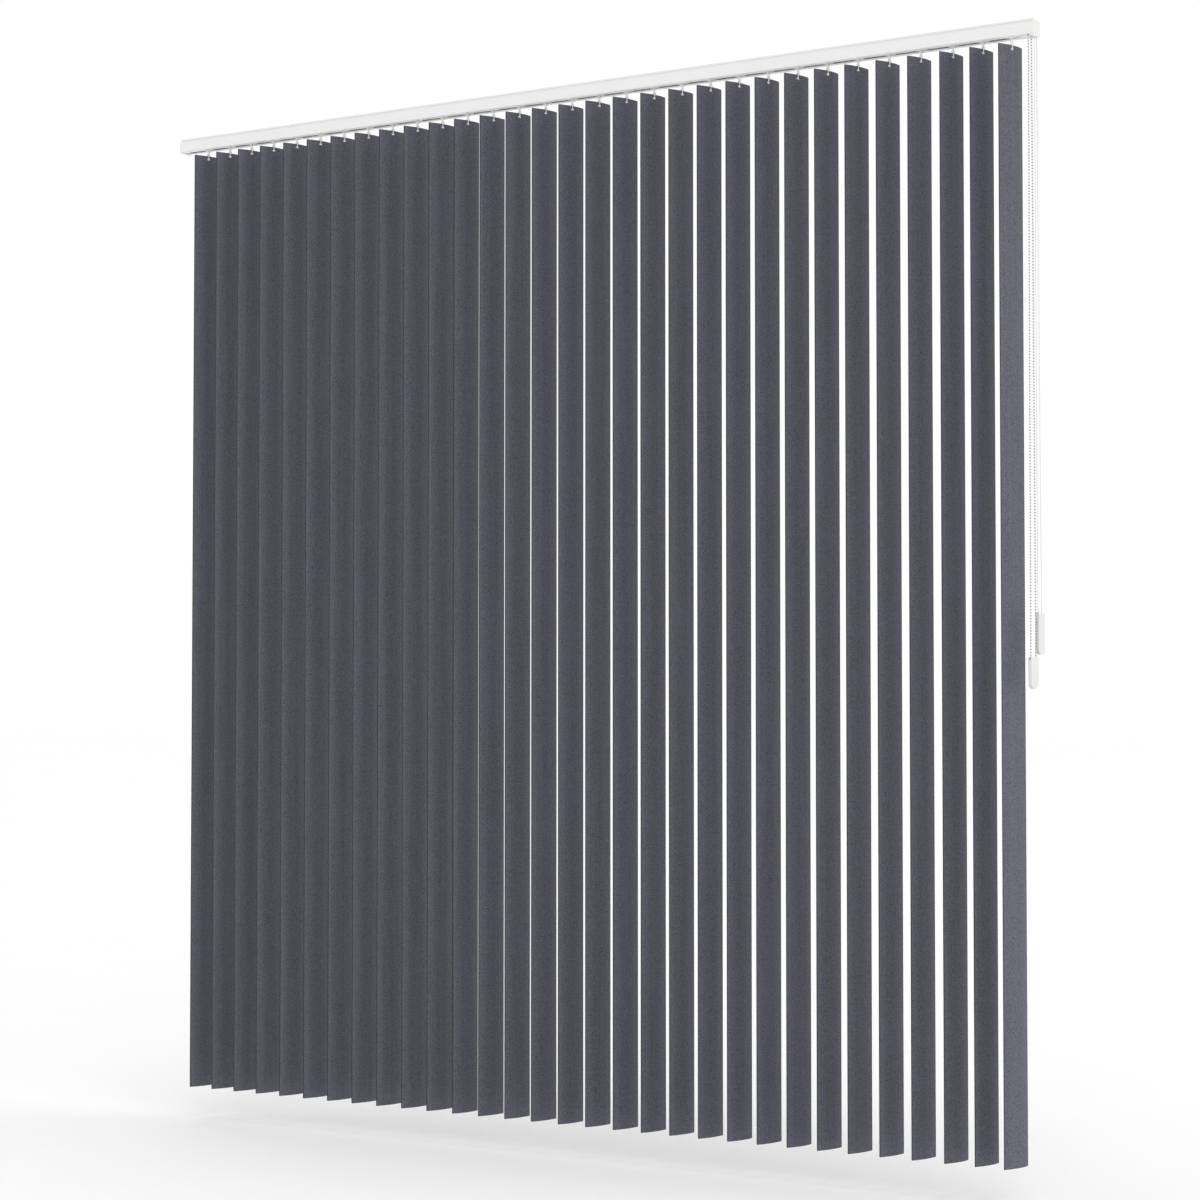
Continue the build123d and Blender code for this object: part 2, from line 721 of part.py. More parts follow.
chain_face, chain_blank = weight_blank(
    chain_centre, chain_weight_bottom_z, chain_weight_width, chain_weight_height, chain_weight_thickness
)
channel = tube(chain_points, [chain_bend] * 4, bead_diameter + 2 * loose_gap)
with BuildPart() as chain_weight:
    add(chain_blank.part)
    add(channel.part, mode=Mode.SUBTRACT)
    with BuildSketch(chain_face):
        with Locations((-chain_weight_width / 2, chain_weight_height - weight_window / 2)):
            Rectangle(2 * (chain_weight_width / 2 - chain_pitch_radius), weight_window)
    extrude(amount=bead_radius + loose_gap, both=True, mode=Mode.SUBTRACT)
save(chain_weight, "chain_weight")

cord_face, cord_blank = weight_blank(
    cord_centre, cord_weight_bottom_z, cord_weight_width, cord_weight_height, cord_weight_thickness
)
weight_pulley_centre = (cord_centre.X, cord_centre.Y, weight_pulley_z)
with BuildPart() as cord_weight:
    add(cord_blank.part)
    cavity_radius = weight_flange_radius + loose_gap
    axis_height = weight_pulley_z - cord_weight_bottom_z
    with BuildSketch(cord_face):
        with Locations((0, axis_height)):
            Circle(cavity_radius)
        with Locations((0, (axis_height + cord_weight_height) / 2)):
            Rectangle(2 * cavity_radius, cord_weight_height - axis_height)
    extrude(amount=weight_pulley_width / 2 + loose_gap, both=True, mode=Mode.SUBTRACT)
    with BuildSketch(cord_face):
        with Locations((0, axis_height)):
            Circle(pin_radius)
    extrude(amount=cord_weight_thickness / 2 - weight_pin_cover, both=True, mode=Mode.SUBTRACT)
save(cord_weight, "cord_weight")

weight_pulley = pulley(
    weight_pulley_centre,
    weight_facing,
    return_pitch_radius,
    weight_flange_radius,
    weight_pulley_width,
    groove_radius,
)
save(weight_pulley, "weight_pulley")

with BuildPart() as weight_pin:
    with BuildSketch(Plane(origin=weight_pulley_centre, z_dir=weight_facing)):
        Circle(pin_radius)
    extrude(amount=cord_weight_thickness / 2 - weight_pin_cover, both=True)
save(weight_pin, "weight_pin")

print(f"slats {slat_count}, whole length {whole_length:.1f}, pivots {pivots[0]:.2f} to {pivots[-1]:.2f}")
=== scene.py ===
import json
from math import asin, ceil, cos, pi, radians, sin

import bmesh
import bpy
from bpy.props import FloatProperty, FloatVectorProperty, IntProperty, PointerProperty
from mathutils import Matrix, Vector

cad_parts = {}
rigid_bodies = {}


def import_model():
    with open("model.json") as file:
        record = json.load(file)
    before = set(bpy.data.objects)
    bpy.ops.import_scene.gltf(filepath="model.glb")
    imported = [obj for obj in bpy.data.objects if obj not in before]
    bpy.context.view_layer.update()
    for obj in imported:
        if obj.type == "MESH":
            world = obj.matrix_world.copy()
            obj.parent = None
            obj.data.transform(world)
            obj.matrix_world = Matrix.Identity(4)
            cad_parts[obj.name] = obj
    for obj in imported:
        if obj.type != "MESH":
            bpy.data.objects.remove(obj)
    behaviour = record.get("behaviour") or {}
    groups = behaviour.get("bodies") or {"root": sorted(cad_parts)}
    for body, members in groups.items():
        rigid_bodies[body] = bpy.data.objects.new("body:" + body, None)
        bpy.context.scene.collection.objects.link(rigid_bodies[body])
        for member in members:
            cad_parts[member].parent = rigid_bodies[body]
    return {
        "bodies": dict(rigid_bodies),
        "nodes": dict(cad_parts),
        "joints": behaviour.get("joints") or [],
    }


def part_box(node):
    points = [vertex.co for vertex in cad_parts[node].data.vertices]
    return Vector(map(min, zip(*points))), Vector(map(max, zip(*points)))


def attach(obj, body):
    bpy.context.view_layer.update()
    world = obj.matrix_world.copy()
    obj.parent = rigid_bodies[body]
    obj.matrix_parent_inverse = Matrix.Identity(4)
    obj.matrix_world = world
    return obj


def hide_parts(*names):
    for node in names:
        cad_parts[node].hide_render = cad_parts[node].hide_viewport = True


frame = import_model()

bl_info = {
    "name": "Vertical Blind",
    "version": (1, 0, 0),
    "blender": (4, 5, 0),
    "location": "View3D > Sidebar > Vertical Blind",
    "description": "Dresses a ceiling-mounted vertical blind with its louvres, gear, cord and finishes",
    "category": "Add Mesh",
}

MM = 0.001
LOUVRES = sorted(name for name in frame["bodies"] if name.startswith("slat_"))
PIVOTS = {
    joint["child"]: joint["pos_m"][0]
    for joint in frame["joints"]
    if joint["child"] in LOUVRES
}
FIRST_LOW, FIRST_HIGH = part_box(LOUVRES[0])
HANGER_TOP = FIRST_HIGH.z
LOUVRE_BOTTOM = FIRST_LOW.z
LOUVRE_TOP = -54.7 * MM
SADDLE_LOW, SADDLE_HIGH = -53.5 * MM, -49.5 * MM
GEAR_LOW, COLLAR_LOW = -24.5 * MM, -28.9 * MM
PEG_Z = -63.8 * MM

NYLON = (0.80, 0.80, 0.78)
HANGER_WHITE = (0.93, 0.93, 0.92)
LINK_WHITE = (0.76, 0.77, 0.76)
WEIGHT_WHITE = (0.75, 0.75, 0.745)
ALUMINIUM = (0.80, 0.81, 0.82)
STEEL = (0.62, 0.62, 0.63)


# --- sizes and colours a user may change -------------------------------------------------

class BlindSizes(bpy.types.PropertyGroup):
    """Sizes of the pieces that the blind is dressed with."""

    louvre_width: FloatProperty(
        name="Louvre width", description="Chord across one louvre",
        default=89 * MM, unit="LENGTH", subtype="DISTANCE")
    louvre_bow: FloatProperty(
        name="Louvre bow", description="How far a louvre's middle stands out from its two edges",
        default=6.4 * MM, unit="LENGTH", subtype="DISTANCE")
    louvre_thickness: FloatProperty(
        name="Louvre thickness", description="Thickness of the vinyl sheet",
        default=1.0 * MM, unit="LENGTH", subtype="DISTANCE")
    louvre_corner: FloatProperty(
        name="Louvre corner", description="Radius of a louvre's four corners",
        default=2.0 * MM, unit="LENGTH", subtype="DISTANCE")
    # Painted shade: width of the darker strip along each long edge of a louvre, colour that stands in for the
    # shading there; the vinyl is one colour up to its edges.
    louvre_rim: FloatProperty(
        name="Louvre rim", description="Width of the darker rim along a louvre's two long edges",
        default=2.2 * MM, unit="LENGTH", subtype="DISTANCE")
    louvre_turn: FloatProperty(
        name="Louvre turn", description="Angle between a louvre's width and the rail",
        default=radians(72.3), unit="ROTATION", subtype="ANGLE")
    louvre_columns: IntProperty(
        name="Louvre columns", description="Faces across a louvre's bow",
        default=22, min=6, max=64)
    slot_width: FloatProperty(
        name="Hanger slot width", description="Width of the slot punched in a louvre's head",
        default=10 * MM, unit="LENGTH", subtype="DISTANCE")
    slot_height: FloatProperty(
        name="Hanger slot height", description="Height of the slot punched in a louvre's head",
        default=5 * MM, unit="LENGTH", subtype="DISTANCE")
    slot_drop: FloatProperty(
        name="Hanger slot drop", description="From a louvre's top edge to the middle of its slot",
        default=10 * MM, unit="LENGTH", subtype="DISTANCE")
    bead: FloatProperty(
        name="Bead", description="Diameter of one bead of the tilt chain",
        default=4.5 * MM, unit="LENGTH", subtype="DISTANCE")
    bead_pitch: FloatProperty(
        name="Bead pitch", description="Distance from one bead to the next",
        default=7.45 * MM, unit="LENGTH", subtype="DISTANCE")
    string: FloatProperty(
        name="Chain string", description="Diameter of the string between the beads",
        default=1.3 * MM, unit="LENGTH", subtype="DISTANCE")
    cord: FloatProperty(
        name="Pull cord", description="Diameter of the traverse cord",
        default=2.0 * MM, unit="LENGTH", subtype="DISTANCE")


class BlindColours(bpy.types.PropertyGroup):
    """Colours of the blind's finishes."""

    vinyl: FloatVectorProperty(
        name="Vinyl", description="Ground colour of the louvres",
        default=(0.118, 0.118, 0.150), subtype="COLOR", min=0, max=1)
    vinyl_grain: FloatVectorProperty(
        name="Vinyl grain", description="Colour in the hollows of the louvres' grain",
        default=(0.052, 0.052, 0.071), subtype="COLOR", min=0, max=1)
    # Painted shade: a darker vinyl colour for the louvres' long edges and cut edges, standing in for the
    # shade along them; the vinyl itself has no darker rim.
    vinyl_painted_rim_shade: FloatVectorProperty(
        name="Vinyl rim", description="Colour of the louvres' cut and long edges",
        default=(0.024, 0.024, 0.034), subtype="COLOR", min=0, max=1)
    enamel: FloatVectorProperty(
        name="Rail enamel", description="Colour of the headrail",
        default=(0.84, 0.84, 0.835), subtype="COLOR", min=0, max=1)
    plastic: FloatVectorProperty(
        name="White plastic", description="Colour of the end cap, the control housing and the rod's bush",
        default=(0.84, 0.84, 0.83), subtype="COLOR", min=0, max=1)
    cord: FloatVectorProperty(
        name="Cord", description="Colour of the pull cord and of the chain's string",
        default=(0.83, 0.83, 0.81), subtype="COLOR", min=0, max=1)
    bead: FloatVectorProperty(
        name="Bead", description="Colour of the tilt chain's beads",
        default=(0.42, 0.42, 0.42), subtype="COLOR", min=0, max=1)


# --- finishes ------------------------------------------------------------------------------

def new_group(name, inputs, outputs):
    """An empty node group with its sockets; returns the tree and its two end nodes."""
    tree = bpy.data.node_groups.new(name, "ShaderNodeTree")
    for label, kind, value in inputs:
        socket = tree.interface.new_socket(label, in_out="INPUT", socket_type=kind)
        if value is not None:
            socket.default_value = value
    for label, kind in outputs:
        tree.interface.new_socket(label, in_out="OUTPUT", socket_type=kind)
    return tree, tree.nodes.new("NodeGroupInput"), tree.nodes.new("NodeGroupOutput")


def node(tree, kind, settings=(), values=()):
    """A node with its settings and socket values; a value that is a socket is linked."""
    made = tree.nodes.new(kind)
    for key, value in dict(settings).items():
        setattr(made, key, value)
    for key, value in dict(values).items():
        if isinstance(value, bpy.types.NodeSocket):
            tree.links.new(value, made.inputs[key])
        else:
            made.inputs[key].default_value = value
    return made


def mix(tree, factor, one, other):
    """A colour mix of two colours or sockets; returns its result."""
    made = node(tree, "ShaderNodeMix", {"data_type": "RGBA"})
    for index, value in ((0, factor), (6, one), (7, other)):
        if isinstance(value, bpy.types.NodeSocket):
            tree.links.new(value, made.inputs[index])
        elif index == 0:
            made.inputs[index].default_value = value
        else:
            made.inputs[index].default_value = (*value[:3], 1)
    return made.outputs[2]


def math(tree, operation, first, second):
    """A Math node of two numbers or sockets; returns its value."""
    made = node(tree, "ShaderNodeMath", {"operation": operation}, {0: first, 1: second})
    return made.outputs[0]


def grain_group():
    """Embossed grain: cells broken up by noise and by finer pits, with a slow drift in tone."""
    name = "Embossed grain"
    if name in bpy.data.node_groups:
        return bpy.data.node_groups[name]
    tree, start, end = new_group(
        name,
        [("Vector", "NodeSocketVector", None), ("Cells per metre", "NodeSocketFloat", 600.0),
         ("Drift", "NodeSocketFloat", 0.3)],
        [("Mask", "NodeSocketFloat"), ("Height", "NodeSocketFloat")])
    place, density = start.outputs["Vector"], start.outputs["Cells per metre"]
    cells = node(tree, "ShaderNodeTexVoronoi", {"feature": "F1"}, {"Vector": place, "Scale": density})
    fine = node(tree, "ShaderNodeTexNoise", (),
                {"Vector": place, "Scale": math(tree, "MULTIPLY", density, 0.8),
                 "Detail": 2.0, "Roughness": 0.7})
    pits = node(tree, "ShaderNodeTexVoronoi", {"feature": "F1"},
                {"Vector": place, "Scale": math(tree, "MULTIPLY", density, 2.6)})
    slow = node(tree, "ShaderNodeTexNoise", (),
                {"Vector": place, "Scale": math(tree, "MULTIPLY", density, 0.03),
                 "Detail": 1.0, "Roughness": 0.5})
    coarse = math(tree, "ADD", math(tree, "MULTIPLY", cells.outputs["Distance"], 0.6),
                  math(tree, "MULTIPLY", fine.outputs["Fac"], 0.5))
    height = math(tree, "ADD", coarse, math(tree, "MULTIPLY", pits.outputs["Distance"], 0.35))
    speckle = node(tree, "ShaderNodeMapRange", (),
                   {"Value": height, "From Min": 0.56, "From Max": 0.81})
    drift = math(tree, "MULTIPLY", math(tree, "SUBTRACT", slow.outputs["Fac"], 0.5),
                 start.outputs["Drift"])
    mask = node(tree, "ShaderNodeMath", {"operation": "ADD", "use_clamp": True},
                {0: speckle.outputs["Result"], 1: drift})
    tree.links.new(mask.outputs[0], end.inputs["Mask"])
    tree.links.new(height, end.inputs["Height"])
    return tree


def mottle_group():
    """The faint unevenness of a moulded or painted surface, with a little settled dust on top."""
    name = "Moulded surface"
    if name in bpy.data.node_groups:
        return bpy.data.node_groups[name]
    tree, start, end = new_group(
        name,
        [("Vector", "NodeSocketVector", None), ("Ripples per metre", "NodeSocketFloat", 300.0),
         ("Dust", "NodeSocketFloat", 0.4)],
        [("Mask", "NodeSocketFloat"), ("Height", "NodeSocketFloat"), ("Dust", "NodeSocketFloat")])
    place, density = start.outputs["Vector"], start.outputs["Ripples per metre"]
    ripple = node(tree, "ShaderNodeTexNoise", (),
                  {"Vector": place, "Scale": density, "Detail": 2.0, "Roughness": 0.5})
    cloud = node(tree, "ShaderNodeTexNoise", (),
                 {"Vector": place, "Scale": math(tree, "MULTIPLY", density, 0.05),
                  "Detail": 3.0, "Roughness": 0.6})
    facing = node(tree, "ShaderNodeSeparateXYZ", (),
                  {"Vector": node(tree, "ShaderNodeNewGeometry").outputs["Normal"]})
    upward = node(tree, "ShaderNodeMapRange", (),
                  {"Value": facing.outputs["Z"], "From Min": 0.3, "From Max": 1.0})
    dust = math(tree, "MULTIPLY", math(tree, "MULTIPLY", upward.outputs["Result"], cloud.outputs["Fac"]),
                start.outputs["Dust"])
    tree.links.new(cloud.outputs["Fac"], end.inputs["Mask"])
    tree.links.new(ripple.outputs["Fac"], end.inputs["Height"])
    tree.links.new(dust, end.inputs["Dust"])
    return tree


def new_material(name):
    """A new material, with its node tree and its shader."""
    material = bpy.data.materials.new(f"{name}_finish")
    material.use_nodes = True
    tree = material.node_tree
    return material, tree, tree.nodes["Principled BSDF"]


def place_on(tree, scale=(1, 1, 1), turn=(0, 0, 0)):
    """Object coordinates, stretched or turned by a Mapping node."""
    where = node(tree, "ShaderNodeTexCoord")
    return node(tree, "ShaderNodeMapping", (),
                {"Vector": where.outputs["Object"], "Scale": scale, "Rotation": turn}).outputs["Vector"]


def emboss(tree, shader, height, strength, depth):
    """Raise and sink a shader's surface by a height."""
    bump = node(tree, "ShaderNodeBump", (),
                {"Strength": strength, "Distance": depth, "Height": height})
    tree.links.new(bump.outputs["Normal"], shader.inputs["Normal"])


def roughen(tree, shader, mask, low, high):
    """Vary a shader's roughness by a mask, from low where it is 0 to high where it is 1."""
    rough = node(tree, "ShaderNodeMapRange", (), {"Value": mask, "To Min": low, "To Max": high})
    tree.links.new(rough.outputs["Result"], shader.inputs["Roughness"])


def vinyl_material(name, colour, hollow):
    """Charcoal vinyl sheet with a fine embossed grain and faint streaks from the roller."""
    material, tree, shader = new_material(name)
    grain = node(tree, "ShaderNodeGroup", {"node_tree": grain_group()},
                 {"Vector": place_on(tree, (1, 1, 0.8)), "Cells per metre": 340.0, "Drift": 0.25})
    streak = node(tree, "ShaderNodeTexNoise", (),
                  {"Vector": place_on(tree, (1, 1, 0.02)), "Scale": 95.0, "Detail": 3.0, "Roughness": 0.6})
    ground = mix(tree, grain.outputs["Mask"], hollow, colour)
    light = tuple(min(1, channel * 1.10) for channel in colour)
    lifted = node(tree, "ShaderNodeMapRange", (),
                  {"Value": streak.outputs["Fac"], "From Min": 0.45, "From Max": 0.7, "To Max": 0.35})
    tree.links.new(mix(tree, lifted.outputs["Result"], ground, light), shader.inputs["Base Color"])
    roughen(tree, shader, grain.outputs["Mask"], 0.62, 0.48)
    shader.inputs["Specular IOR Level"].default_value = 0.4
    emboss(tree, shader, grain.outputs["Height"], strength=0.35, depth=0.0004)
    return material


def white_material(name, colour, ripples, roughness, depth, dust=0.3, scale=(1, 1, 1)):
    """A white moulded or enamelled finish with its own ripple, gloss and dust."""
    material, tree, shader = new_material(name)
    surface = node(tree, "ShaderNodeGroup", {"node_tree": mottle_group()},
                   {"Vector": place_on(tree, scale), "Ripples per metre": ripples, "Dust": dust})
    shade = tuple(channel * 0.965 for channel in colour)
    dusty = tuple(channel * share for channel, share in zip(colour, (0.86, 0.84, 0.80)))
    clean = mix(tree, surface.outputs["Mask"], shade, colour)
    tree.links.new(mix(tree, surface.outputs["Dust"], clean, dusty), shader.inputs["Base Color"])
    gloss = node(tree, "ShaderNodeMapRange", (),
                 {"Value": surface.outputs["Mask"], "To Min": roughness - 0.05, "To Max": roughness + 0.07})
    tree.links.new(math(tree, "ADD", gloss.outputs["Result"],
                        math(tree, "MULTIPLY", surface.outputs["Dust"], 0.4)), shader.inputs["Roughness"])
    emboss(tree, shader, surface.outputs["Height"], strength=0.2, depth=depth)
    return material


def enamel_material(colours):
    """White enamel on drawn aluminium, with the faint lines of the drawing along the rail."""
    material = white_material("rail_enamel", tuple(colours.enamel),
                              ripples=260.0, roughness=0.34, depth=0.00025)
    tree = material.node_tree
    shader = tree.nodes["Principled BSDF"]
    lines = node(tree, "ShaderNodeTexNoise", (),
                 {"Vector": place_on(tree, (0.01, 1, 1)), "Scale": 900.0, "Detail": 2.0, "Roughness": 0.5})
    ripple = shader.inputs["Normal"].links[0].from_node
    drawn = node(tree, "ShaderNodeBump", (),
                 {"Strength": 0.12, "Distance": 0.0002, "Height": lines.outputs["Fac"],
                  "Normal": ripple.outputs["Normal"]})
    tree.links.new(drawn.outputs["Normal"], shader.inputs["Normal"])
    shader.inputs["Coat Weight"].default_value = 0.15
    shader.inputs["Coat Roughness"].default_value = 0.2
    return material


def cord_material(colours):
    """White braided cord: two crossing spirals of yarn make small diamonds."""
    material, tree, shader = new_material("braided_cord")
    bands = []
    for lean in (0.7, -0.7):
        wave = node(tree, "ShaderNodeTexWave", {"wave_type": "BANDS", "bands_direction": "Z"},
                    {"Vector": place_on(tree, (1, 1, 1), (lean, lean, 0)), "Scale": 260.0,
                     "Distortion": 0.4, "Detail": 1.0})
        bands.append(wave.outputs["Fac"])
    yarn = math(tree, "MAXIMUM", *bands)
    shade = tuple(channel * 0.86 for channel in colours.cord)
    tree.links.new(mix(tree, yarn, shade, tuple(colours.cord)), shader.inputs["Base Color"])
    roughen(tree, shader, yarn, 0.8, 0.6)
    emboss(tree, shader, yarn, strength=0.5, depth=0.0002)
    return material


def metal_material(name, colour, roughness, scale):
    """Bare metal with fine lines along the direction it was drawn or turned in."""
    material, tree, shader = new_material(name)
    lines = node(tree, "ShaderNodeTexNoise", (),
                 {"Vector": place_on(tree, scale), "Scale": 1400.0, "Detail": 3.0, "Roughness": 0.6})
    dull = tuple(channel * 0.82 for channel in colour)
    tree.links.new(mix(tree, lines.outputs["Fac"], dull, colour), shader.inputs["Base Color"])
    roughen(tree, shader, lines.outputs["Fac"], roughness - 0.08, roughness + 0.12)
    shader.inputs["Metallic"].default_value = 1.0
    emboss(tree, shader, lines.outputs["Fac"], strength=0.2, depth=0.0001)
    return material


def finish_for(name):
    """The named finish, made the first time it is asked for."""
    made = bpy.data.materials.get(f"{name}_finish")
    if made:
        return made
    colours = bpy.context.scene.blind_colours
    plastic = tuple(colours.plastic)
    makers = {
        "louvre_vinyl": lambda: vinyl_material("louvre_vinyl", colours.vinyl, colours.vinyl_grain),
        # Painted shade: the louvres' rim finish is the vinyl in the darker rim colour, put along the edges in
        # place of their shading.
        "louvre_rim": lambda: vinyl_material("louvre_rim", colours.vinyl_painted_rim_shade, colours.vinyl_grain),
        "rail_enamel": lambda: enamel_material(colours),
        "cap_plastic": lambda: white_material(
            "cap_plastic", plastic, ripples=900.0, roughness=0.38, depth=0.0002),
        "weight_plastic": lambda: white_material(
            "weight_plastic", WEIGHT_WHITE, ripples=500.0, roughness=0.3, depth=0.0002),
        "hanger_plastic": lambda: white_material(
            "hanger_plastic", HANGER_WHITE, ripples=1500.0, roughness=0.42, depth=0.0001),
        "carrier_plastic": lambda: white_material(
            "carrier_plastic", NYLON, ripples=1200.0, roughness=0.5, depth=0.0002),
        "link_plastic": lambda: white_material(
            "link_plastic", LINK_WHITE, ripples=700.0, roughness=0.35, depth=0.0002),
        "bead_plastic": lambda: white_material(
            "bead_plastic", tuple(colours.bead), ripples=1800.0, roughness=0.28, depth=0.0001,
            dust=0.1),
        "chain_string": lambda: white_material(
            "chain_string", tuple(colours.cord), ripples=2500.0, roughness=0.7, depth=0.0002,
            dust=0.1, scale=(1, 1, 0.2)),
        "braided_cord": lambda: cord_material(colours),
        "rod_aluminium": lambda: metal_material(
            "rod_aluminium", ALUMINIUM, roughness=0.3, scale=(0.02, 1, 1)),
        "pin_steel": lambda: metal_material(
            "pin_steel", STEEL, roughness=0.28, scale=(1, 0.2, 1)),
    }
    return makers[name]()


# --- shared modelling steps ----------------------------------------------------------------

def new_piece(name, mesh, body, slot, *materials, stands_for=()):
    """Put a finished mesh in the scene, at the origin, riding on its CAD body."""
    piece = bpy.data.objects.new(name, mesh)
    bpy.context.scene.collection.objects.link(piece)
    for material in materials:
        mesh.materials.append(finish_for(material))
    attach(piece, body)
    if stands_for:
        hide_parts(*stands_for)
    return piece


def hang_at_pivots(name, template, slot, *materials):
    """Copy a template mesh to every pivot, each copy riding on its own louvre's body."""
    for body in LOUVRES:
        mesh = template.copy()
        mesh.transform(Matrix.Translation((PIVOTS[body], 0, 0)))
        number = body.split("_")[1]
        new_piece(f"{name}_{number}", mesh, body, slot, *materials, stands_for=[body])
    bpy.data.meshes.remove(template)


def finished_mesh(bm, name, sharp):
    """Turn a bmesh into a mesh with smooth faces and sharp corners."""
    bmesh.ops.remove_doubles(bm, verts=bm.verts, dist=0.002 * MM)
    bmesh.ops.recalc_face_normals(bm, faces=bm.faces)
    mesh = bpy.data.meshes.new(name)
    bm.to_mesh(mesh)
    bm.free()
    mesh.shade_smooth()
    mesh.set_sharp_from_angle(angle=radians(sharp))
    return mesh


def soften(bm, edges, width, segments=2):
    """Round the given edges."""
    bmesh.ops.bevel(bm, geom=edges, offset=width, offset_type="OFFSET", affect="EDGES",
                    segments=segments, profile=0.5, material=-1)


def block(bm, low, high, softness):
    """A block between two corners, with its edges rounded."""
    size, middle = Vector(high) - Vector(low), (Vector(high) + Vector(low)) / 2
    shape = Matrix.Translation(middle) @ Matrix.Diagonal((*size, 1))
    verts = bmesh.ops.create_cube(bm, size=1, matrix=shape)["verts"]
    edges = list(dict.fromkeys(edge for vert in verts for edge in vert.link_edges))
    soften(bm, edges, softness)


def turned(bm, profile, steps=32):
    """A closed turned shape about the Z axis; the profile runs from axis to axis."""
    verts = [bm.verts.new((radius, 0, height)) for radius, height in profile]
    edges = [bm.edges.new(pair) for pair in zip(verts, verts[1:])]
    bmesh.ops.spin(bm, geom=verts + edges, cent=(0, 0, 0), axis=(0, 0, 1), dvec=(0, 0, 0),
                   angle=2 * pi, steps=steps, use_merge=True, use_duplicate=False)


def turn_to_rest(bm, sizes):
    """Turn a template about its pivot to the angle that the louvres hang at."""
    rest = Matrix.Rotation(sizes.louvre_turn, 3, "Z")
    bmesh.ops.rotate(bm, cent=(0, 0, 0), matrix=rest, verts=bm.verts)


# --- cord and chain ------------------------------------------------------------------------

PULL_CORD_ROUTE = (
    (1354.25, 3, -4.5),
    (1359.25, 3, -4.5),
    (1359.25, 3, -16.5),
    (1358.687, 6.943, -1548.2),
    (1358.687, 6.943, -1560.2),
    (1363.013, 20.257, -1560.2),
    (1363.013, 20.257, -1548.2),
    (1359.25, 17, -16.5),
    (1359.25, 17, -4.5),
    (1354.25, 17, -4.5),
)
CHAIN_ROUTE = (
    (1352.75, -9.51, -11.5),
    (1352.75, -19, -11.5),
    (1352.75, -19, -38.5),
    (1349.814, -18.535, -1616.45),
    (1349.814, -18.535, -1643.45),
    (1355.686, -0.465, -1643.45),
    (1355.686, -0.465, -1616.45),
    (1352.75, 0, -38.5),
    (1352.75, 0, -11.5),
    (1352.75, -9.49, -11.5),
)


def cord_curve(name, points, diameter):
    """A smooth curve along a cord's route, as thick as the cord."""
    data = bpy.data.curves.new(name, "CURVE")
    data.dimensions = "3D"
    data.resolution_u = 12
    data.bevel_depth = diameter / 2
    data.bevel_resolution = 3
    data.use_fill_caps = True
    spline = data.splines.new("NURBS")
    spline.points.add(len(points) - 1)
    for control, point in zip(spline.points, points):
        control.co = (*[coordinate * MM for coordinate in point], 1)
    spline.order_u = 3
    spline.use_endpoint_u = True
    return data


def curve_line(data):
    """The points along a curve's own line, without its thickness."""
    bare = bpy.data.objects.new("bare_line", data.copy())
    bare.data.bevel_depth = 0
    mesh = bpy.data.meshes.new_from_object(bare)
    line = [vert.co.copy() for vert in mesh.vertices]
    bpy.data.meshes.remove(mesh)
    bpy.data.curves.remove(bare.data)
    return line


def run_length(line):
    """How long a line of points is."""
    return sum((there - here).length for here, there in zip(line, line[1:]))


def along(line, count):
    """That many points, evenly spaced along a line."""
    step = run_length(line) / count
    places, walked, wanted = [], 0, step / 2
    for here, there in zip(line, line[1:]):
        run = (there - here).length
        while wanted <= walked + run and len(places) < count:
            places.append(here.lerp(there, (wanted - walked) / run))
            wanted += step
        walked += run
    return places


class BLIND_OT_pull_cord(bpy.types.Operator):
    """Hang the traverse cord from its two pulleys down to its weight"""

    bl_idname = "blind.pull_cord"
    bl_label = "Pull Cord"

    def execute(self, context):
        sizes = context.scene.blind_sizes
        data = cord_curve("pull_cord_run", PULL_CORD_ROUTE, sizes.cord)
        data.materials.append(finish_for("braided_cord"))
        piece = bpy.data.objects.new("pull_cord_run", data)
        context.scene.collection.objects.link(piece)
        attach(piece, "rail")
        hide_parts("pull_cord")
        return {"FINISHED"}


class BLIND_OT_bead_chain(bpy.types.Operator):
    """Thread the tilt chain's beads on their string, round the sprocket and through its weight"""

    bl_idname = "blind.bead_chain"
    bl_label = "Bead Chain"

    def execute(self, context):
        sizes = context.scene.blind_sizes
        string = cord_curve("chain_string", CHAIN_ROUTE, sizes.string)
        line = curve_line(string)
        loose = bpy.data.objects.new("chain_string", string)
        tube = bpy.data.meshes.new_from_object(loose)
        bpy.data.objects.remove(loose)
        bm = bmesh.new()
        bm.from_mesh(tube)
        bpy.data.meshes.remove(tube)
        for face in bm.faces:
            face.material_index = 1
        for place in along(line, round(run_length(line) / sizes.bead_pitch)):
            bmesh.ops.create_uvsphere(bm, u_segments=8, v_segments=6, radius=sizes.bead / 2,
                                      matrix=Matrix.Translation(place))
        mesh = finished_mesh(bm, "bead_chain_run", 80)
        piece = new_piece("bead_chain_run", mesh, "rail", "bead_plastic",
                          "bead_plastic", "chain_string", stands_for=["bead_chain"])
        return {"FINISHED"}


# --- louvres -------------------------------------------------------------------------------

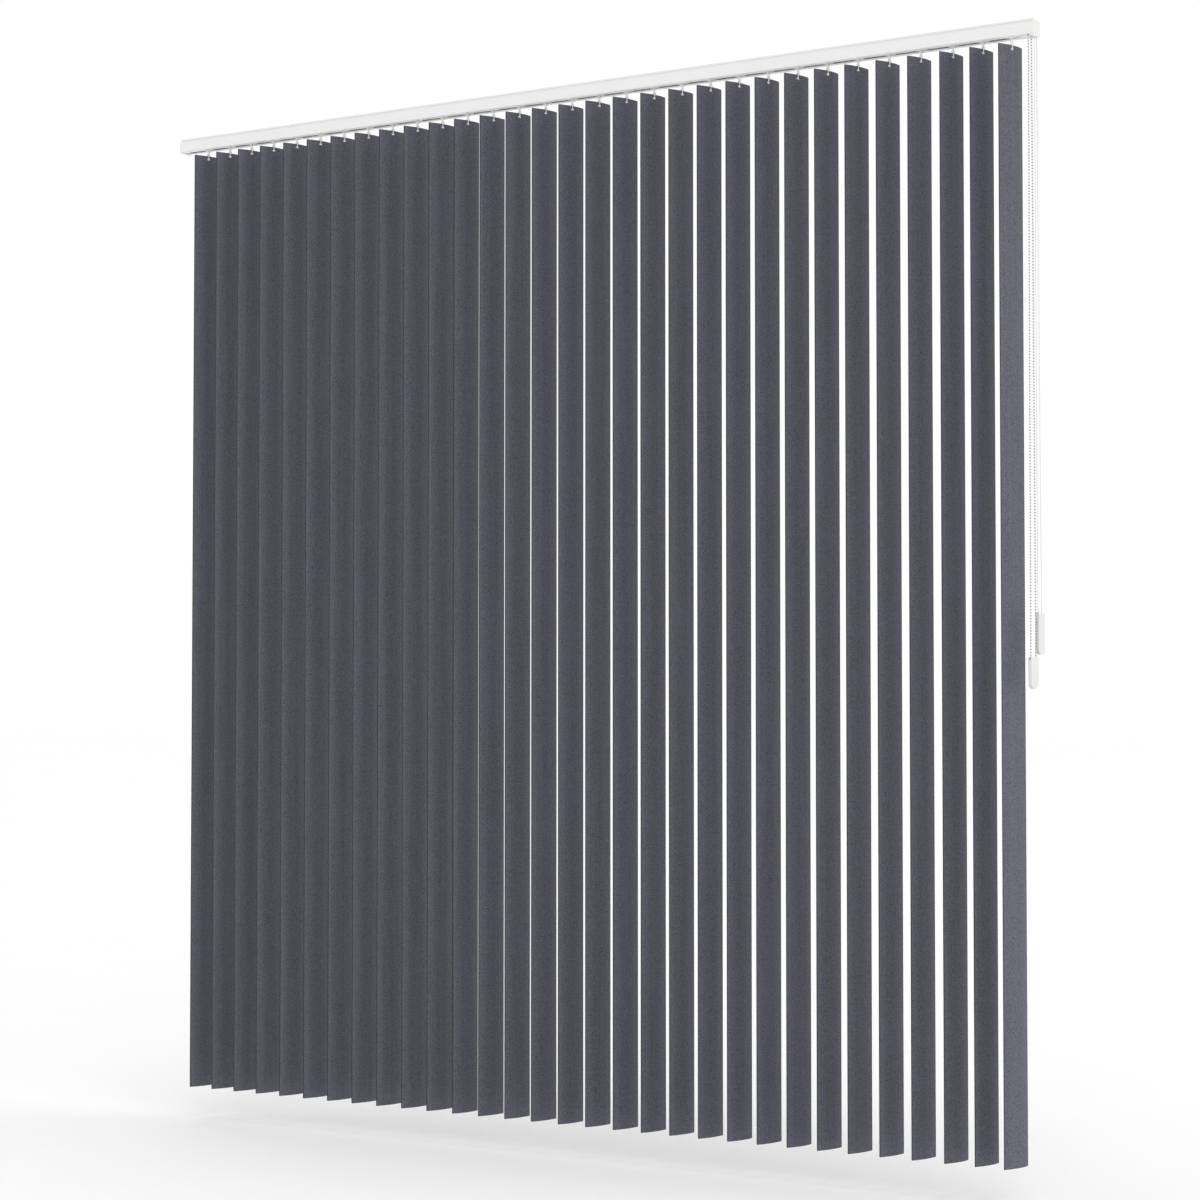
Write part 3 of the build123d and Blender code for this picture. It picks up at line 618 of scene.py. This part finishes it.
def louvre_template(sizes):
    """One bowed vinyl louvre about the origin's axis, with its punched slot and rounded corners."""
    width, bow, thick = sizes.louvre_width, sizes.louvre_bow, sizes.louvre_thickness
    radius = (width ** 2 / 4 + bow ** 2) / (2 * bow)
    half = asin(width / 2 / radius)
    outer = radius + thick / 2
    bm = bmesh.new()
    side = [
        bm.verts.new((-outer * sin(half), radius - outer * cos(half), height))
        for height in (LOUVRE_BOTTOM, LOUVRE_TOP)
    ]
    bmesh.ops.spin(bm, geom=[*side, bm.edges.new(side)], cent=(0, radius, 0), axis=(0, 0, 1),
                   dvec=(0, 0, 0), angle=2 * half, steps=sizes.louvre_columns, use_duplicate=False)
    # From here out to each long edge, the sheet takes the painted rim shade.
    inner_edge = width / 2 - sizes.louvre_rim
    for side_x in (-inner_edge, inner_edge):
        cut(bm, (side_x, 0, 0), (1, 0, 0))
    slot_z = LOUVRE_TOP - sizes.slot_drop
    end = sizes.slot_height / 2
    core = sizes.slot_width / 2 - end
    for height in (slot_z - end, slot_z + end):
        cut(bm, (0, 0, height), (0, 0, 1))
    for direction in (-1, 1):
        for lean in (0, 30, 60):
            for upward in (-1, 1) if lean else (1,):
                normal = Vector((direction * cos(radians(lean)), 0, upward * sin(radians(lean))))
                middle = Vector((direction * core, 0, slot_z))
                cut(bm, middle + normal * end, normal, slot_z, end)
    punched = [
        face for face in bm.faces
        if reach_from_slot(face.calc_center_median(), core, slot_z) < end
    ]
    bmesh.ops.delete(bm, geom=punched, context="FACES")
    corners = [
        vert for vert in bm.verts
        if len(vert.link_edges) == 2 and abs(vert.co.z - slot_z) > 2 * end
        and abs(vert.co.x) > 0.4 * width
    ]
    bmesh.ops.bevel(bm, geom=corners, offset=sizes.louvre_corner, offset_type="OFFSET",
                    affect="VERTICES", segments=4, profile=0.5, material=-1)
    if sum(face.normal.y for face in bm.faces) > 0:
        bmesh.ops.reverse_faces(bm, faces=bm.faces)
    bm.normal_update()
    bmesh.ops.solidify(bm, geom=bm.faces, thickness=thick)
    rim = [
        edge for edge in bm.edges
        if edge.is_manifold and edge.calc_face_angle() > radians(60)
    ]
    bm.normal_update()
    # Cut edges and the strips along the long edges take the second material: the painted rim shade.
    for face in bm.faces:
        place = face.calc_center_median()
        spoke = Vector((place.x, place.y - radius, 0)).normalized()
        cut_edge = abs(face.normal.dot(spoke)) < 0.5
        face.material_index = int(cut_edge or abs(place.x) > inner_edge)
    soften(bm, rim, 0.18 * MM, 1)
    turn_to_rest(bm, sizes)
    return finished_mesh(bm, "louvre_template", 30)


def cut(bm, point, normal, near_z=None, reach=None):
    """Add an edge where a plane crosses the sheet, all over it or only round the slot."""
    side_reach = 8 * MM
    faces = [
        face for face in bm.faces
        if near_z is None or (abs(face.calc_center_median().z - near_z) < reach
                              and abs(face.calc_center_median().x) < side_reach)
    ]
    parts = list(dict.fromkeys(part for face in faces for part in (*face.verts, *face.edges, face)))
    bmesh.ops.bisect_plane(bm, geom=parts, dist=0.001 * MM, plane_co=point, plane_no=normal)


def reach_from_slot(place, core, slot_z):
    """How far a place on the sheet is from the middle line of the punched slot."""
    return Vector((max(abs(place.x) - core, 0), place.z - slot_z)).length


class BLIND_OT_louvres(bpy.types.Operator):
    """Hang a vinyl louvre at each pivot"""

    bl_idname = "blind.louvres"
    bl_label = "Louvres"

    def execute(self, context):
        """Copy one louvre to every pivot."""
        template = louvre_template(context.scene.blind_sizes)
        # The second finish is the painted shade along the louvres' edges.
        hang_at_pivots("louvre", template, "slat_vinyl", "louvre_vinyl", "louvre_rim")
        return {"FINISHED"}


# --- hangers -------------------------------------------------------------------------------

def gear_teeth(bm, root, tip, low, high, teeth):
    """A toothed wheel: every second side face of a drum drawn out and narrowed."""
    middle = (low + high) / 2
    made = bmesh.ops.create_cone(bm, cap_ends=True, segments=2 * teeth, radius1=root, radius2=root,
                                 depth=high - low, matrix=Matrix.Translation((0, 0, middle)))
    sides = {face for vert in made["verts"] for face in vert.link_faces if abs(face.normal.z) < 0.5}
    ordered = sorted(sides, key=lambda face: Vector((1, 0)).angle_signed(face.calc_center_median().xy))
    drawn = bmesh.ops.extrude_discrete_faces(bm, faces=ordered[::2])["faces"]
    for face in drawn:
        outward = face.calc_center_median().copy()
        outward.z = 0
        outward.normalize()
        bmesh.ops.translate(bm, verts=face.verts, vec=outward * (tip - root))
        spot = face.calc_center_median()
        narrow = Matrix.Scale(0.55, 4, outward.cross(Vector((0, 0, 1))))
        bmesh.ops.transform(bm, matrix=narrow, space=Matrix.Translation(-spot), verts=face.verts)


def hanger_template(sizes):
    """One hanger: a toothed wheel on a stem, and a hook that holds the louvre through its slot."""
    bm = bmesh.new()
    root, tip, teeth = 4.45 * MM, 5.15 * MM, 14
    gear_teeth(bm, root, tip, GEAR_LOW, HANGER_TOP, teeth)
    soft, collar, stem = 0.4 * MM, 4.5 * MM, 3.0 * MM
    turned(bm, [
        (0, GEAR_LOW + soft), (collar - soft, GEAR_LOW), (collar, GEAR_LOW - soft),
        (collar, COLLAR_LOW + soft), (collar - soft, COLLAR_LOW), (3.2 * MM, COLLAR_LOW),
        (stem, COLLAR_LOW - 0.3 * MM), (stem, SADDLE_HIGH + 1.2 * MM),
        (3.4 * MM, SADDLE_HIGH + 0.4 * MM), (1.95 * MM, SADDLE_HIGH - 0.5 * MM),
        (0, SADDLE_HIGH - 0.6 * MM),
    ])
    gap = sizes.louvre_thickness / 2 + 0.25 * MM
    leg = 1.2 * MM
    legs_top = SADDLE_LOW + 1 * MM
    block(bm, (-5.5 * MM, -gap - leg, SADDLE_LOW), (5.5 * MM, gap + leg, SADDLE_HIGH), 0.55 * MM)
    block(bm, (-4 * MM, gap, SADDLE_LOW - 17 * MM), (4 * MM, gap + leg, legs_top), 0.3 * MM)
    block(bm, (-1.3 * MM, -gap - leg, SADDLE_LOW - 13 * MM), (1.3 * MM, -gap, legs_top), 0.3 * MM)
    peg, reach = 1.5 * MM, gap + leg / 2
    block(bm, (-2 * MM, -reach, PEG_Z - peg), (2 * MM, reach, PEG_Z + peg), 0.25 * MM)
    hook_tip(bm, (0, -gap, PEG_Z), leg)
    turn_to_rest(bm, sizes)
    return finished_mesh(bm, "hanger_template", 40)


def hook_tip(bm, place, thick):
    """The drop-shaped tip that clips over the front of the louvre, with its point upwards."""
    radius, point_height, belly_height, drop = 2.6 * MM, 4.8 * MM, 2.9 * MM, 0.8 * MM
    flat = bmesh.ops.create_circle(bm, cap_ends=True, segments=24, radius=radius)["verts"]
    for vert in flat:
        rise = max(vert.co.y, 0) / radius
        vert.co.x *= 1 - rise * 0.55
        vert.co.y *= (point_height if rise else belly_height) / radius
        vert.co.y -= drop * (rise == 0)
    face = flat[0].link_faces[0]
    solid = bmesh.ops.extrude_face_region(bm, geom=[face])["geom"]
    raised = [part for part in solid if isinstance(part, bmesh.types.BMVert)]
    bmesh.ops.translate(bm, verts=raised, vec=(0, 0, thick))
    whole = [*flat, *raised]
    front = [edge for edge in bm.edges if edge.verts[0] in raised and edge.verts[1] in raised]
    upright = Matrix.Translation(place) @ Matrix.Rotation(pi / 2, 4, "X")
    bmesh.ops.transform(bm, matrix=upright, verts=whole)
    soften(bm, front, 0.35 * MM)


class BLIND_OT_hangers(bpy.types.Operator):
    """Fit a geared hanger above each louvre"""

    bl_idname = "blind.hangers"
    bl_label = "Hangers"

    def execute(self, context):
        """Copy one hanger to every pivot."""
        template = hanger_template(context.scene.blind_sizes)
        hang_at_pivots("hanger", template, "carrier_plastic", "hanger_plastic")
        return {"FINISHED"}


# --- worms on the tilt rod -----------------------------------------------------------------

def worm_template():
    """One worm about the X axis: a core with a thread wound round it."""
    bm = bmesh.new()
    length, core, crest, pitch = 20 * MM, 3.45 * MM, 4.0 * MM, 3.2 * MM
    turned(bm, [(0, -length / 2), (core - 0.3 * MM, -length / 2), (core, -length / 2 + 0.3 * MM),
                (core, length / 2 - 0.3 * MM), (core - 0.3 * MM, length / 2), (0, length / 2)], 20)
    turns = (length - 1.6 * pitch) / pitch
    start = -length / 2 + 0.3 * pitch
    tooth = [bm.verts.new((radius, 0, start + rise)) for radius, rise in (
        (core - 0.2 * MM, 0), (crest, 0.35 * pitch), (crest, 0.5 * pitch), (core - 0.2 * MM, 0.85 * pitch))]
    section = bm.faces.new(tooth)
    steps = ceil(turns * 20)
    bmesh.ops.spin(bm, geom=[section, *section.edges, *tooth], cent=(0, 0, 0), axis=(0, 0, 1),
                   dvec=(0, 0, turns * pitch / steps), angle=turns * 2 * pi, steps=steps, use_duplicate=False)
    bmesh.ops.rotate(bm, cent=(0, 0, 0), matrix=Matrix.Rotation(pi / 2, 3, "Y"), verts=bm.verts)
    return bm


class BLIND_OT_worms(bpy.types.Operator):
    """Thread a worm on the tilt rod beside each hanger's gear"""

    bl_idname = "blind.worms"
    bl_label = "Worms"

    def execute(self, context):
        """Gather a threaded worm at every pivot into one piece on the tilt shaft."""
        low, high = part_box("tilt_rod")
        bm = bmesh.new()
        single = worm_template()
        mesh = bpy.data.meshes.new("worm_template")
        single.to_mesh(mesh)
        single.free()
        for body in LOUVRES:
            spot = Matrix.Translation((PIVOTS[body], (low.y + high.y) / 2, (low.z + high.z) / 2))
            mesh.transform(spot)
            bm.from_mesh(mesh)
            mesh.transform(spot.inverted())
        bpy.data.meshes.remove(mesh)
        new_piece("worm_threads", finished_mesh(bm, "worm_threads", 50), "tilt_shaft", "carrier_plastic",
                  "carrier_plastic", stands_for=["worms"])
        return {"FINISHED"}


# --- finishes on the CAD parts -------------------------------------------------------------

CAD_FINISHES = {
    "rail_enamel": ["headrail"],
    "cap_plastic": ["end_cap", "control_housing", "rod_bush"],
    "carrier_plastic": ["carriers", "carrier_wheels", "chain_sprocket"],
    "link_plastic": ["spacer_links"],
    "weight_plastic": ["chain_weight", "cord_weight"],
    "hanger_plastic": ["return_pulley", "cord_pulley_front", "cord_pulley_rear", "weight_pulley"],
    "braided_cord": ["traverse_cord"],
    "rod_aluminium": ["tilt_rod"],
    "pin_steel": ["return_pin", "pulley_axle", "weight_pin"],
}


class BLIND_OT_finishes(bpy.types.Operator):
    """Give the rail, housing, carriers, pulleys, pins and weights their finishes"""

    bl_idname = "blind.finishes"
    bl_label = "Rail and Fittings"

    def execute(self, context):
        """Put a finish in each part's material slots."""
        for finish, names in CAD_FINISHES.items():
            for name in names:
                part = frame["nodes"][name]
                if not part.material_slots:
                    part.data.materials.append(None)
                for place in part.material_slots:
                    place.material = finish_for(finish)
        return {"FINISHED"}


# --- stage ---------------------------------------------------------------------------------

FLOOR_DROP = 90 * MM
FLOOR_SIZE = 60
WORLD_LEVEL = 0.74
WORLD_LEAN = (0.30, -0.30, 0.14)
KEY_PLACE, KEY_TARGET, KEY_SIZE, KEY_POWER = (6.0, 0.5, -0.4), (0.4, 0, -1.3), 3.0, 20
OVERHEAD_STRENGTH, OVERHEAD_SPREAD = 0.75, radians(60)
CAMERA_PLACE = (3.86492, -6.06461, -1.65790)
CAMERA_TURN = (radians(92.0067), 0, radians(31.8315))
CAMERA_LENS = 79.406


def area_light(name, place, target, size, power):
    """A soft square light aimed at a point."""
    data = bpy.data.lights.new(name, "AREA")
    data.shape = "SQUARE"
    data.size = size
    data.energy = power
    light = bpy.data.objects.new(name, data)
    light.location = place
    light.rotation_euler = (Vector(target) - Vector(place)).to_track_quat("-Z", "Y").to_euler()
    bpy.context.scene.collection.objects.link(light)


def studio_world():
    """A white backdrop whose light is strongest from the right, the front and above."""
    world = bpy.data.worlds.new("studio")
    world.use_nodes = True
    tree = world.node_tree
    where = node(tree, "ShaderNodeTexCoord").outputs["Generated"]
    lean = node(tree, "ShaderNodeVectorMath", {"operation": "DOT_PRODUCT"}, {0: where, 1: WORLD_LEAN})
    level = math(tree, "ADD", lean.outputs["Value"], WORLD_LEVEL)
    seen = node(tree, "ShaderNodeLightPath").outputs["Is Camera Ray"]
    strength = node(tree, "ShaderNodeMix", {"data_type": "FLOAT"}, {0: seen, 2: level, 3: 1.0})
    backdrop = tree.nodes["Background"]
    backdrop.inputs["Color"].default_value = (1, 1, 1, 1)
    tree.links.new(strength.outputs[0], backdrop.inputs["Strength"])
    return world


class BLIND_OT_stage(bpy.types.Operator):
    """Set up the floor, the soft light and the camera"""

    bl_idname = "blind.stage"
    bl_label = "Stage"

    def execute(self, context):
        """Make the floor, world, lights and camera."""
        scene = context.scene
        bm = bmesh.new()
        bmesh.ops.create_grid(bm, x_segments=1, y_segments=1, size=FLOOR_SIZE,
                              matrix=Matrix.Translation((0, 0, LOUVRE_BOTTOM - FLOOR_DROP)))
        mesh = bpy.data.meshes.new("studio_floor")
        bm.to_mesh(mesh)
        bm.free()
        floor = bpy.data.objects.new("studio_floor", mesh)
        scene.collection.objects.link(floor)
        material, tree, shader = new_material("studio_floor")
        cloud = node(tree, "ShaderNodeTexNoise", (), {"Vector": place_on(tree), "Scale": 2.0, "Detail": 2.0})
        tree.links.new(mix(tree, cloud.outputs["Fac"], (0.94, 0.94, 0.94), (0.96, 0.96, 0.96)),
                       shader.inputs["Base Color"])
        shader.inputs["Roughness"].default_value = 0.9
        shader.inputs["Specular IOR Level"].default_value = 0.1
        mesh.materials.append(material)

        scene.world = studio_world()
        scene.view_settings.view_transform = "Standard"
        scene.view_settings.look = "None"

        area_light("key_right", KEY_PLACE, KEY_TARGET, KEY_SIZE, KEY_POWER)
        overhead = bpy.data.lights.new("overhead", "SUN")
        overhead.energy = OVERHEAD_STRENGTH
        overhead.angle = OVERHEAD_SPREAD
        scene.collection.objects.link(bpy.data.objects.new("overhead", overhead))

        lens = bpy.data.cameras.new("camera")
        lens.lens = CAMERA_LENS
        lens.sensor_width = 36
        lens.clip_end = 200
        camera = bpy.data.objects.new("camera", lens)
        camera.location = CAMERA_PLACE
        camera.rotation_euler = CAMERA_TURN
        scene.collection.objects.link(camera)
        scene.camera = camera
        return {"FINISHED"}


# --- panel and registration ----------------------------------------------------------------

class BLIND_PT_sidebar(bpy.types.Panel):
    """Buttons and sizes for the blind, in the 3D view's sidebar"""

    bl_idname = "BLIND_PT_sidebar"
    bl_label = "Vertical Blind"
    bl_space_type = "VIEW_3D"
    bl_region_type = "UI"
    bl_category = "Vertical Blind"

    def draw(self, context):
        """List the sizes, the colours and a button for each group of pieces."""
        layout = self.layout
        for group in (context.scene.blind_sizes, context.scene.blind_colours):
            box = layout.box()
            for key in group.bl_rna.properties.keys():
                if key not in ("rna_type", "name"):
                    box.prop(group, key)
        for operator in PIECES:
            layout.operator(operator.bl_idname)


PIECES = (
    BLIND_OT_stage,
    BLIND_OT_pull_cord,
    BLIND_OT_bead_chain,
    BLIND_OT_louvres,
    BLIND_OT_hangers,
    BLIND_OT_worms,
    BLIND_OT_finishes,
)
CLASSES = (BlindSizes, BlindColours, *PIECES, BLIND_PT_sidebar)


def register():
    """Add the classes and the scene's settings."""
    for each in CLASSES:
        bpy.utils.register_class(each)
    bpy.types.Scene.blind_sizes = PointerProperty(type=BlindSizes)
    bpy.types.Scene.blind_colours = PointerProperty(type=BlindColours)


def unregister():
    """Take the settings and classes away again."""
    del bpy.types.Scene.blind_colours
    del bpy.types.Scene.blind_sizes
    for each in reversed(CLASSES):
        bpy.utils.unregister_class(each)


def corners(box):
    """A box as plain lists of numbers."""
    return [[round(value, 5) for value in corner] for corner in box]


def main():
    """Build the whole blind."""
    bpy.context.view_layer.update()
    register()
    bpy.ops.blind.stage()
    bpy.ops.blind.pull_cord()
    bpy.ops.blind.bead_chain()
    bpy.ops.blind.louvres()
    bpy.ops.blind.hangers()
    bpy.ops.blind.worms()
    bpy.ops.blind.finishes()


if __name__ == "__main__":
    main()
